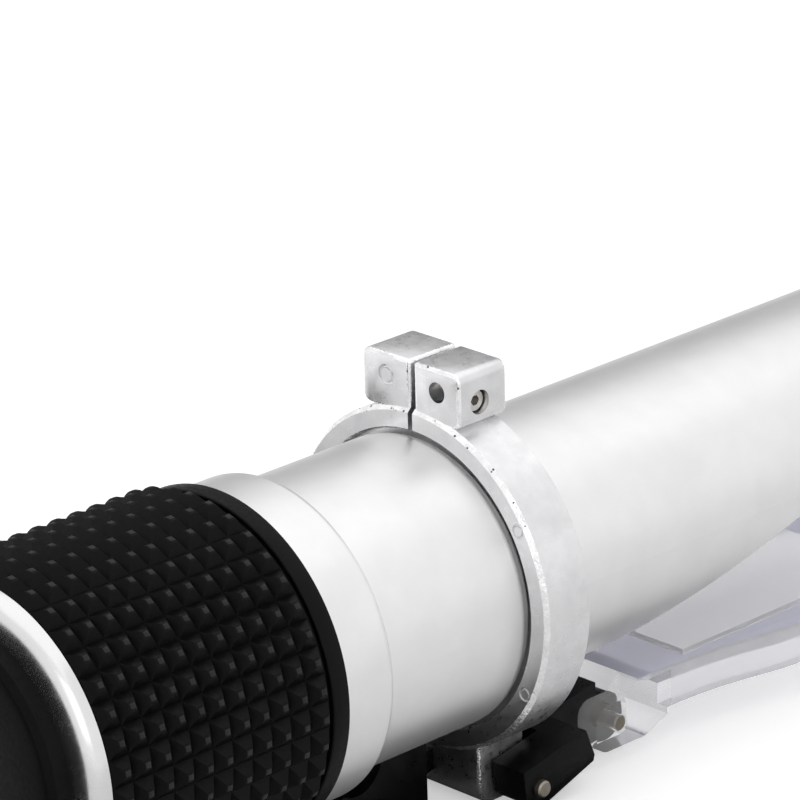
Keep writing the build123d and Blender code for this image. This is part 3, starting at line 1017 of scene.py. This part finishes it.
def bore_clamp(ring):
    """Bore the ring for the housing, the screw and the hinge pin, and sink the blind hole."""
    screw = (screw_low + screw_high) / 2
    screw_bore = (screw_high.z - screw_low.z) / 2 + 0.16 * millimetre
    pin = (pin_low + pin_high) / 2
    pin_bore = (pin_high.z - pin_low.z) / 2 + 0.06 * millimetre
    housing = (0, ring_rear + 3 * millimetre, axis_height)
    blind = (2.68 * millimetre, lug_rear, axis_height + 18.08 * millimetre)
    for name, radius, middle, length, along in (
        ("bore", ring_bore, housing, 12 * millimetre, "Y"),
        ("screw_bore", screw_bore, (4 * millimetre, screw.y, screw.z), 18 * millimetre, "X"),
        ("pin_bore", pin_bore, pin, 30 * millimetre, "X"),
        ("blind_hole", 0.95 * millimetre, blind, 6 * millimetre, "Y"),
    ):
        combine(ring, rod(name, radius, middle, length, along), "DIFFERENCE")


def mark_clamp(ring):
    """Press a round mark into the left lug and two ejector marks into the ring's rear."""
    lug_mark = (-3.6 * millimetre, lug_rear, axis_height + 18.19 * millimetre)
    combine(
        ring,
        hoop("left_mark", 0.8 * millimetre, 0.16 * millimetre, lug_mark),
        "DIFFERENCE",
    )
    ejector_radius = 14.85 * millimetre
    for angle in (radians(32.2), radians(-29.3)):
        across = ejector_radius * cos(angle)
        up = ejector_radius * sin(angle)
        middle = (across, ring_rear, axis_height + up)
        combine(
            ring,
            hoop("ejector_mark", 0.55 * millimetre, 0.12 * millimetre, middle),
            "DIFFERENCE",
        )


# Studded grip


def one_stud(root_radius, tip_width, pitch, step):
    """One stud on top of the tube, drawn up from its foot in stages and open below."""
    foot = Vector((2 * root_radius * sin(step / 2), pitch))
    tip = Vector((tip_width, tip_width))
    foot_height = axis_height + root_radius * cos(step / 2)
    rise = axis_height + grip_high.x - foot_height
    centre = Vector((0, grip_low.y + pitch / 2, foot_height))

    deselect()
    bpy.ops.mesh.primitive_plane_add(size=1, location=centre)
    stud = bpy.context.object
    stud.name = "grip_studs"
    bpy.ops.transform.resize(value=(foot.x, foot.y, 1), center_override=centre)
    bpy.ops.object.transform_apply()
    edit(stud)
    bpy.ops.mesh.select_all(action="SELECT")
    width, height = foot, foot_height
    for height_share, width_share in stud_section:
        next_width = foot.lerp(tip, width_share)
        next_height = foot_height + rise * height_share
        bpy.ops.mesh.extrude_region_move(
            TRANSFORM_OT_translate={"value": (0, 0, next_height - height)}
        )
        bpy.ops.transform.resize(
            value=(next_width.x / width.x, next_width.y / width.y, 1),
            center_override=(0, centre.y, next_height),
        )
        width, height = next_width, next_height
    pick(stud, "faces", lambda face: face.normal.z < -0.9)
    bpy.ops.mesh.delete(type="FACE")
    leave()
    return stud


def repeat_around(studs, count, step):
    """Repeat a row of studs round the tube's axis."""
    axis = Vector((0, 0, axis_height))
    turn = bpy.data.objects.new("turn", None)
    bpy.context.scene.collection.objects.link(turn)
    turn.matrix_world = (
        Matrix.Translation(axis) @ Matrix.Rotation(step, 4, "Y") @ Matrix.Translation(-axis)
    )
    bpy.context.view_layer.update()
    repeat(
        studs,
        "around",
        count,
        use_object_offset=True,
        offset_object=turn,
        use_merge_vertices_cap=True,
    )
    bpy.data.objects.remove(turn)


def close_sleeve(studs, root_radius, front):
    """Draw both ends of the studded skin in to the tube and join them along the bore."""
    draw_in = grip_bore / root_radius
    edit(studs, "EDGE")
    for end in (grip_low.y, front):
        pick(studs, "edges", lambda edge: edge.is_boundary and lies_at_y(edge, end))
        bpy.ops.mesh.extrude_edges_move()
        bpy.ops.transform.resize(
            value=(draw_in, 1, draw_in), center_override=(0, end, axis_height)
        )
    bpy.ops.mesh.select_all(action="DESELECT")
    pick(studs, "edges", lambda edge: edge.is_boundary)
    bpy.ops.mesh.bridge_edge_loops()
    leave()


def grip_lip(grip, root_radius, stud_front, lip_rear):
    """The smooth lip in front, over the stop collar, and the groove's floor behind it."""
    lip_radius = grip_high.x - grip.lip_step
    groove_floor = root_radius - 0.3 * millimetre
    floor_rear = stud_front - 0.05 * millimetre
    collar_seat = collar_high.x + seat_gap
    collar_rear = collar_low.y - seat_gap
    lip = turned_piece(
        "grip_lip",
        [
            (grip_bore, floor_rear),
            (groove_floor, floor_rear),
            (groove_floor, lip_rear),
            (lip_radius, lip_rear),
            (lip_radius, grip_high.y),
            (collar_seat, grip_high.y),
            (collar_seat, collar_rear),
            (grip_bore, collar_rear),
        ],
    )
    round_edges(lip, 0.3 * millimetre, segments=4)
    return lip


def join(piece, other, name):
    """Join two pieces into one."""
    activate(piece)
    other.select_set(True)
    bpy.ops.object.join()
    joined = bpy.context.object
    joined.name = name
    merge_and_face_out(joined)
    return joined


def paint_tip_highlights(sleeve):
    """Give the studs' flat tips the sleeve's second material, which paints a highlight on them.
    """
    tips_from = grip_high.x - 0.03 * millimetre
    for face in sleeve.data.polygons:
        if Vector((face.center.x, face.center.z - axis_height)).length > tips_from:
            face.material_index = 1


# Eyepiece


def bezel_outline():
    """Outline of the bright ring: flat in front, rounded down to its rear edge."""
    bore = cam_high.x + seat_gap
    front_radius = bezel_high.x
    rear_radius = 13.1 * millimetre
    crown_from = bezel_high.y - 0.5 * millimetre
    crown_run = crown_from - bezel_low.y
    crown_steps = 10
    outline = [(bore, bezel_low.y), (bore, bezel_high.y), (front_radius, bezel_high.y)]
    for count in range(crown_steps + 1):
        angle = pi / 2 * count / crown_steps
        radius = rear_radius + (front_radius - rear_radius) * cos(angle)
        outline.append((radius, crown_from - crown_run * sin(angle)))
    return outline


def swell(share, start_slope, end_slope):
    """A bell's swell from 0 to 1, with its slopes at both ends."""
    rest = 1 - share
    return (
        share * rest * rest * start_slope
        + share * share * (3 - 2 * share)
        - share * share * rest * end_slope
    )


def flared_side(start, end, start_slope, end_slope):
    """Points of a bell's side from one (radius, y) to another."""
    start_radius, start_place = start
    end_radius, end_place = end
    steps = 14
    points = []
    for count in range(steps + 1):
        share = count / steps
        radius = start_radius + (end_radius - start_radius) * swell(share, start_slope, end_slope)
        points.append((radius, start_place + (end_place - start_place) * share))
    return points


def eyecup_outline(eyepiece):
    """Outline of the eyecup: flange, groove, flared wall, rim, and the bowl and bore inside."""
    rear, front = eyecup_low.y, eyecup_high.y
    neck, groove = eyepiece.neck_radius, eyepiece.groove_depth
    flange_rear = front - eyepiece.flange_width
    flare_front = front - 4.0 * millimetre
    flare_rear = rear + 3.0 * millimetre
    rim = eyecup_high.x
    inner_rim = rim - eyepiece.wall
    rim_edge = 0.5 * millimetre
    throat = 10.8 * millimetre
    throat_rear = rear + 18.5 * millimetre
    sleeve_bore = 11.32 * millimetre
    sleeve_rear = cam_low.y - seat_gap
    return [
        (neck, front),
        (neck, flange_rear),
        (neck - groove, flange_rear - groove),
        *flared_side((neck, flare_front), (rim, flare_rear), 1.0, 0.12),
        (rim, rear + rim_edge),
        (rim - rim_edge, rear),
        (inner_rim + rim_edge, rear),
        *flared_side((inner_rim, rear + rim_edge), (throat, throat_rear), 0.1, 0.6),
        (throat, sleeve_rear),
        (sleeve_bore, sleeve_rear),
        (sleeve_bore, front),
    ]


# Daylight plate


def shorten_ears(moulding):
    """Draw the front of the plate's ears back, as far as the link leaves room for."""
    ear_top = plate_high.z - 5.5 * millimetre
    ear_middle = plate_low.y + 5 * millimetre
    edit(moulding, "VERT")
    pick(moulding, "verts", lambda point: point.co.z < ear_top and point.co.y > ear_middle)
    bpy.ops.transform.translate(value=(0, -0.5 * millimetre, 0))
    leave()


def tint_plate(moulding):
    """Give the ears, the flat band and the raised pad their own material slots; the band's darker
    tint is painted shade.
    """
    band_slot, pad_slot, ear_slot = 1, 2, 3
    ears_end = ring_rear + 19.5 * millimetre
    pad_from = plate_high.z - 0.2 * millimetre
    for face in moulding.data.polygons:
        if face.center.y < ears_end:
            face.material_index = ear_slot
        elif face.normal.z > 0.9:
            face.material_index = pad_slot if face.center.z > pad_from else band_slot


# Stage


def lay_floor(stage):
    """The white sheet, which keeps the object's shadow."""
    deselect()
    bpy.ops.mesh.primitive_plane_add(size=6, location=(0, 0, 0))
    floor = bpy.context.object
    floor.name = "floor"
    material, tree, shader = plain_material("sheet", stage.floor_colour, 0.8)
    glow = add_node(tree, "ShaderNodeMath", (-250, -300), operation="MULTIPLY")
    glow.inputs[1].default_value = stage.floor_glow
    tree.links.new(seen_rays(tree), glow.inputs[0])
    shader.inputs["Emission Color"].default_value = (1, 1, 1, 1)
    tree.links.new(glow.outputs[0], shader.inputs["Emission Strength"])
    floor.data.materials.append(material)


def light_room(stage):
    """White surroundings: strength 1 where they are seen, less as light on the object."""
    world = bpy.data.worlds.new("white room")
    bpy.context.scene.world = world
    world.use_nodes = True
    tree = world.node_tree
    background = tree.nodes["Background"]
    background.inputs["Color"].default_value = (1, 1, 1, 1)
    strength = add_node(tree, "ShaderNodeMapRange", (-250, 0))
    strength.inputs["To Min"].default_value = stage.room_light
    strength.inputs["To Max"].default_value = 1.0
    tree.links.new(seen_rays(tree), strength.inputs["Value"])
    tree.links.new(strength.outputs["Result"], background.inputs["Strength"])


def place_flag(name, place, turn, size, shade):
    """A card that only reflections see, to grade the metal."""
    deselect()
    bpy.ops.mesh.primitive_plane_add(size=1, location=place, rotation=turn)
    flag = bpy.context.object
    flag.name = name
    bpy.ops.transform.resize(value=(*size, 1), orient_type="LOCAL")
    bpy.ops.object.transform_apply()
    material, _, _ = plain_material(name, (shade, shade, shade), 0.9)
    flag.data.materials.append(material)
    flag.visible_camera = False
    flag.visible_diffuse = False
    flag.visible_shadow = False
    flag.visible_transmission = False


def hang_softbox(name, place, size, power):
    """A square softbox aimed at the tube."""
    lamp = bpy.data.lights.new(name, "AREA")
    lamp.size = size
    lamp.energy = power
    holder = bpy.data.objects.new(name, lamp)
    bpy.context.scene.collection.objects.link(holder)
    aim = Vector((0, 0, axis_height)) - Vector(place)
    turn = aim.to_track_quat("-Z", "Y").to_matrix().to_4x4()
    holder.matrix_world = Matrix.Translation(place) @ turn


def place_camera(stage):
    camera = bpy.data.cameras.new("camera")
    camera.lens = stage.camera_lens
    camera.clip_start = 0.01
    holder = bpy.data.objects.new("camera", camera)
    holder.location = stage.camera_place
    holder.rotation_euler = stage.camera_turn
    bpy.context.scene.collection.objects.link(holder)
    bpy.context.scene.camera = holder


# Operators, one for each group of pieces and one for the stage


class REFRACTOMETER_OT_barrel(bpy.types.Operator):
    """Dress the tube, the prism housing and the stop collar in satin aluminium"""

    bl_idname = "refractometer.barrel"
    bl_label = "Barrel"

    def execute(self, context):
        barrel = context.scene.refractometer_barrel
        metal = satin_aluminium(barrel.colour, barrel.roughness)
        dress(metal, "main_tube", "prism_housing", "stop_collar")
        return {"FINISHED"}


class REFRACTOMETER_OT_clamp(bpy.types.Operator):
    """Model the split clamp ring as a plated casting whose edges are worn and painted with a
    highlight, and dress its screw
    """

    bl_idname = "refractometer.clamp"
    bl_label = "Clamp ring"

    def execute(self, context):
        clamp = context.scene.refractometer_clamp
        casting = plated_casting(clamp.colour)
        ring = clamp_band(casting, worn_edge(clamp.edge_wear_and_highlight_colour))
        cut_split(ring, clamp)
        add_screw_lugs(ring, clamp)
        add_hinge_lug(ring, clamp)
        bore_clamp(ring)
        mark_clamp(ring)
        merge_and_face_out(ring)
        smooth(ring, 30)
        carry(ring, "barrel", "plated_casting", casting, "ring_clamp")
        dress(steel(), "clamp_screw")
        return {"FINISHED"}


class REFRACTOMETER_OT_grip(bpy.types.Operator):
    """Model the studded rubber grip: one stud, repeated along and round, and a smooth lip"""

    bl_idname = "refractometer.grip"
    bl_label = "Studded grip"

    def execute(self, context):
        grip = context.scene.refractometer_grip
        rubber = moulded_rubber("grip_rubber", grip.colour, 0.42)
        root_radius = grip_high.x - grip.stud_height
        lip_rear = grip_high.y - grip.lip_width
        stud_front = lip_rear - grip.lip_groove
        pitch = (stud_front - grip_low.y) / grip.stud_rows
        step = 2 * pi / grip.studs_around

        studs = one_stud(root_radius, grip.stud_tip, pitch, step)
        repeat(
            studs,
            "rows",
            grip.stud_rows,
            use_constant_offset=True,
            constant_offset_displace=(0, pitch, 0),
        )
        repeat_around(studs, grip.studs_around, step)
        close_sleeve(studs, root_radius, stud_front)

        sleeve = join(studs, grip_lip(grip, root_radius, stud_front, lip_rear), "grip_sleeve")
        smooth(sleeve, 28)
        # The second material paints a highlight on the studs' flat tips
        paint(sleeve, rubber, worn_rubber(grip.tip_highlight_colour))
        paint_tip_highlights(sleeve)
        carry(sleeve, "barrel", "grip_rubber", rubber, "rubber_grip")
        return {"FINISHED"}


class REFRACTOMETER_OT_eyepiece(bpy.types.Operator):
    """Model the bright bezel and the flared eyecup that turn to focus"""

    bl_idname = "refractometer.eyepiece"
    bl_label = "Eyepiece"

    def execute(self, context):
        eyepiece = context.scene.refractometer_eyepiece
        bezel = turned_piece("bright_bezel_ring", bezel_outline())
        smooth(bezel, 40)
        bright = bright_metal(eyepiece.bezel_colour)
        carry(bezel, "focus_ring", "bright_bezel", bright, "focus_bezel")

        cup = turned_piece("eyecup_rubber_cup", eyecup_outline(eyepiece))
        smooth(cup, 40)
        rubber = moulded_rubber("eyecup_rubber", eyepiece.rubber_colour, 0.5)
        carry(cup, "focus_ring", "eyecup_rubber", rubber, "eyecup")
        dress(matt_black(), "focus_cam")
        return {"FINISHED"}


class REFRACTOMETER_OT_link(bpy.types.Operator):
    """Finish the black hinge link and the rest foot, and dress their pins and screw"""

    bl_idname = "refractometer.link"
    bl_label = "Link and foot"

    def execute(self, context):
        link = context.scene.refractometer_link
        plastic = moulded_plastic("black_plastic", link.colour, 0.34)
        for node, name, body in (
            ("hinge_link", "hinge_link_moulding", "link"),
            ("rest_foot", "rest_foot_moulding", "barrel"),
        ):
            moulding = copy_of(node, name)
            round_edges(moulding, link.edge_rounding)
            smooth(moulding, 35)
            carry(moulding, body, "black_plastic", plastic, node)
        dress(turned_metal("pin_steel", (0.3, 0.27, 0.23), 0.45), "link_pin", "plate_pin")
        dress(steel(), "foot_screw")
        return {"FINISHED"}


class REFRACTOMETER_OT_plate(bpy.types.Operator):
    """Finish the clear daylight plate: its ears, the tints of its walls and pad, and the painted
    shade of its band
    """

    bl_idname = "refractometer.plate"
    bl_label = "Daylight plate"

    def execute(self, context):
        plate = context.scene.refractometer_plate
        moulding = copy_of("daylight_plate", "daylight_plate_moulding")
        walls = milky_plastic("clear_plastic", plate.wall_tint, 0.7)
        # The band's darker tint is painted shade in its recess
        band = milky_plastic("plate_band", plate.band_painted_shade, 0.55)
        pad = milky_plastic("plate_pad", plate.pad_tint, 0.65)
        ears = milky_plastic("plate_knuckle", (1.0, 1.0, 1.0), 0.9, index=1.1)
        paint(moulding, walls, band, pad, ears)
        shorten_ears(moulding)
        tint_plate(moulding)
        smooth(moulding, 35)
        carry(moulding, "plate", "clear_plastic", walls, "daylight_plate")
        return {"FINISHED"}


class REFRACTOMETER_OT_optics(bpy.types.Operator):
    """Dress the prism, the lenses and what holds them"""

    bl_idname = "refractometer.optics"
    bl_label = "Optics"

    def execute(self, context):
        dress(optical_glass("prism_glass", (0.9, 0.97, 0.97), 1.72, 0.02), "main_prism")
        dress(
            optical_glass("lens_glass", (0.94, 0.98, 0.97), 1.52, 0.01),
            "ocular_lens",
            "field_lens",
            "objective_lens",
            "reticle_glass",
        )
        dress(matt_black(), "lens_cell", "lens_spacer", "lens_retainer", "reticle_mount")
        dress(moulded_rubber("seal_black", (0.02, 0.02, 0.02), 0.6), "prism_seal")
        dress(
            turned_metal("brass", (0.7, 0.52, 0.24), 0.3),
            "objective_cell",
            "objective_retainer",
            "guide_key",
            "calibration_screw",
        )
        return {"FINISHED"}


class REFRACTOMETER_OT_stage(bpy.types.Operator):
    """Set the floor, the surroundings, the softboxes and the camera"""

    bl_idname = "refractometer.stage"
    bl_label = "Stage"

    def execute(self, context):
        stage = context.scene.refractometer_stage
        context.scene.view_settings.view_transform = "Standard"
        lay_floor(stage)
        light_room(stage)
        # Two cards lie just over the floor and one stands behind the object, turned to it
        flat = (0, 0, 0)
        upright = (pi / 2, 0, radians(45))
        place_flag("side flag", (0.263, 0.15, 0.0003), flat, (0.5, 1.2), 0.92)
        # Painted shadow: the dark card under the tube stands in, for reflections only, for the
        # tube's own shadow on the floor
        place_flag("under flag", (-0.027, 0.15, 0.0003), flat, (0.08, 1.2), 0.1)
        place_flag("back flag", (-0.5, 0.5, 0.22), upright, (0.9, 0.5), 0.46)
        hang_softbox("key softbox", (-0.05, 0.1, 0.6), 0.9, stage.key_power)
        hang_softbox("fill softbox", (0.5, -0.3, 0.35), 0.4, stage.fill_power)
        place_camera(stage)
        return {"FINISHED"}


settings = {
    "refractometer_stage": StageSettings,
    "refractometer_barrel": BarrelSettings,
    "refractometer_clamp": ClampSettings,
    "refractometer_grip": GripSettings,
    "refractometer_eyepiece": EyepieceSettings,
    "refractometer_plate": PlateSettings,
    "refractometer_link": LinkSettings,
}
operators = (
    REFRACTOMETER_OT_barrel,
    REFRACTOMETER_OT_clamp,
    REFRACTOMETER_OT_grip,
    REFRACTOMETER_OT_eyepiece,
    REFRACTOMETER_OT_link,
    REFRACTOMETER_OT_plate,
    REFRACTOMETER_OT_optics,
    REFRACTOMETER_OT_stage,
)


class REFRACTOMETER_PT_pieces(bpy.types.Panel):
    bl_idname = "REFRACTOMETER_PT_pieces"
    bl_label = "Refractometer"
    bl_space_type = "VIEW_3D"
    bl_region_type = "UI"
    bl_category = "Refractometer"

    def draw(self, context):
        for operator in operators:
            self.layout.operator(operator.bl_idname)
        for name in settings:
            column = self.layout.column()
            group = getattr(context.scene, name)
            for key in group.__annotations__:
                column.prop(group, key)


def register():
    for name, group in settings.items():
        bpy.utils.register_class(group)
        setattr(bpy.types.Scene, name, bpy.props.PointerProperty(type=group))
    for operator in operators:
        bpy.utils.register_class(operator)
    bpy.utils.register_class(REFRACTOMETER_PT_pieces)


def unregister():
    bpy.utils.unregister_class(REFRACTOMETER_PT_pieces)
    for operator in reversed(operators):
        bpy.utils.unregister_class(operator)
    for name, group in settings.items():
        delattr(bpy.types.Scene, name)
        bpy.utils.unregister_class(group)


def main():
    register()
    bpy.ops.refractometer.barrel()
    bpy.ops.refractometer.clamp()
    bpy.ops.refractometer.grip()
    bpy.ops.refractometer.eyepiece()
    bpy.ops.refractometer.link()
    bpy.ops.refractometer.plate()
    bpy.ops.refractometer.optics()
    bpy.ops.refractometer.stage()


if __name__ == "__main__":
    main()
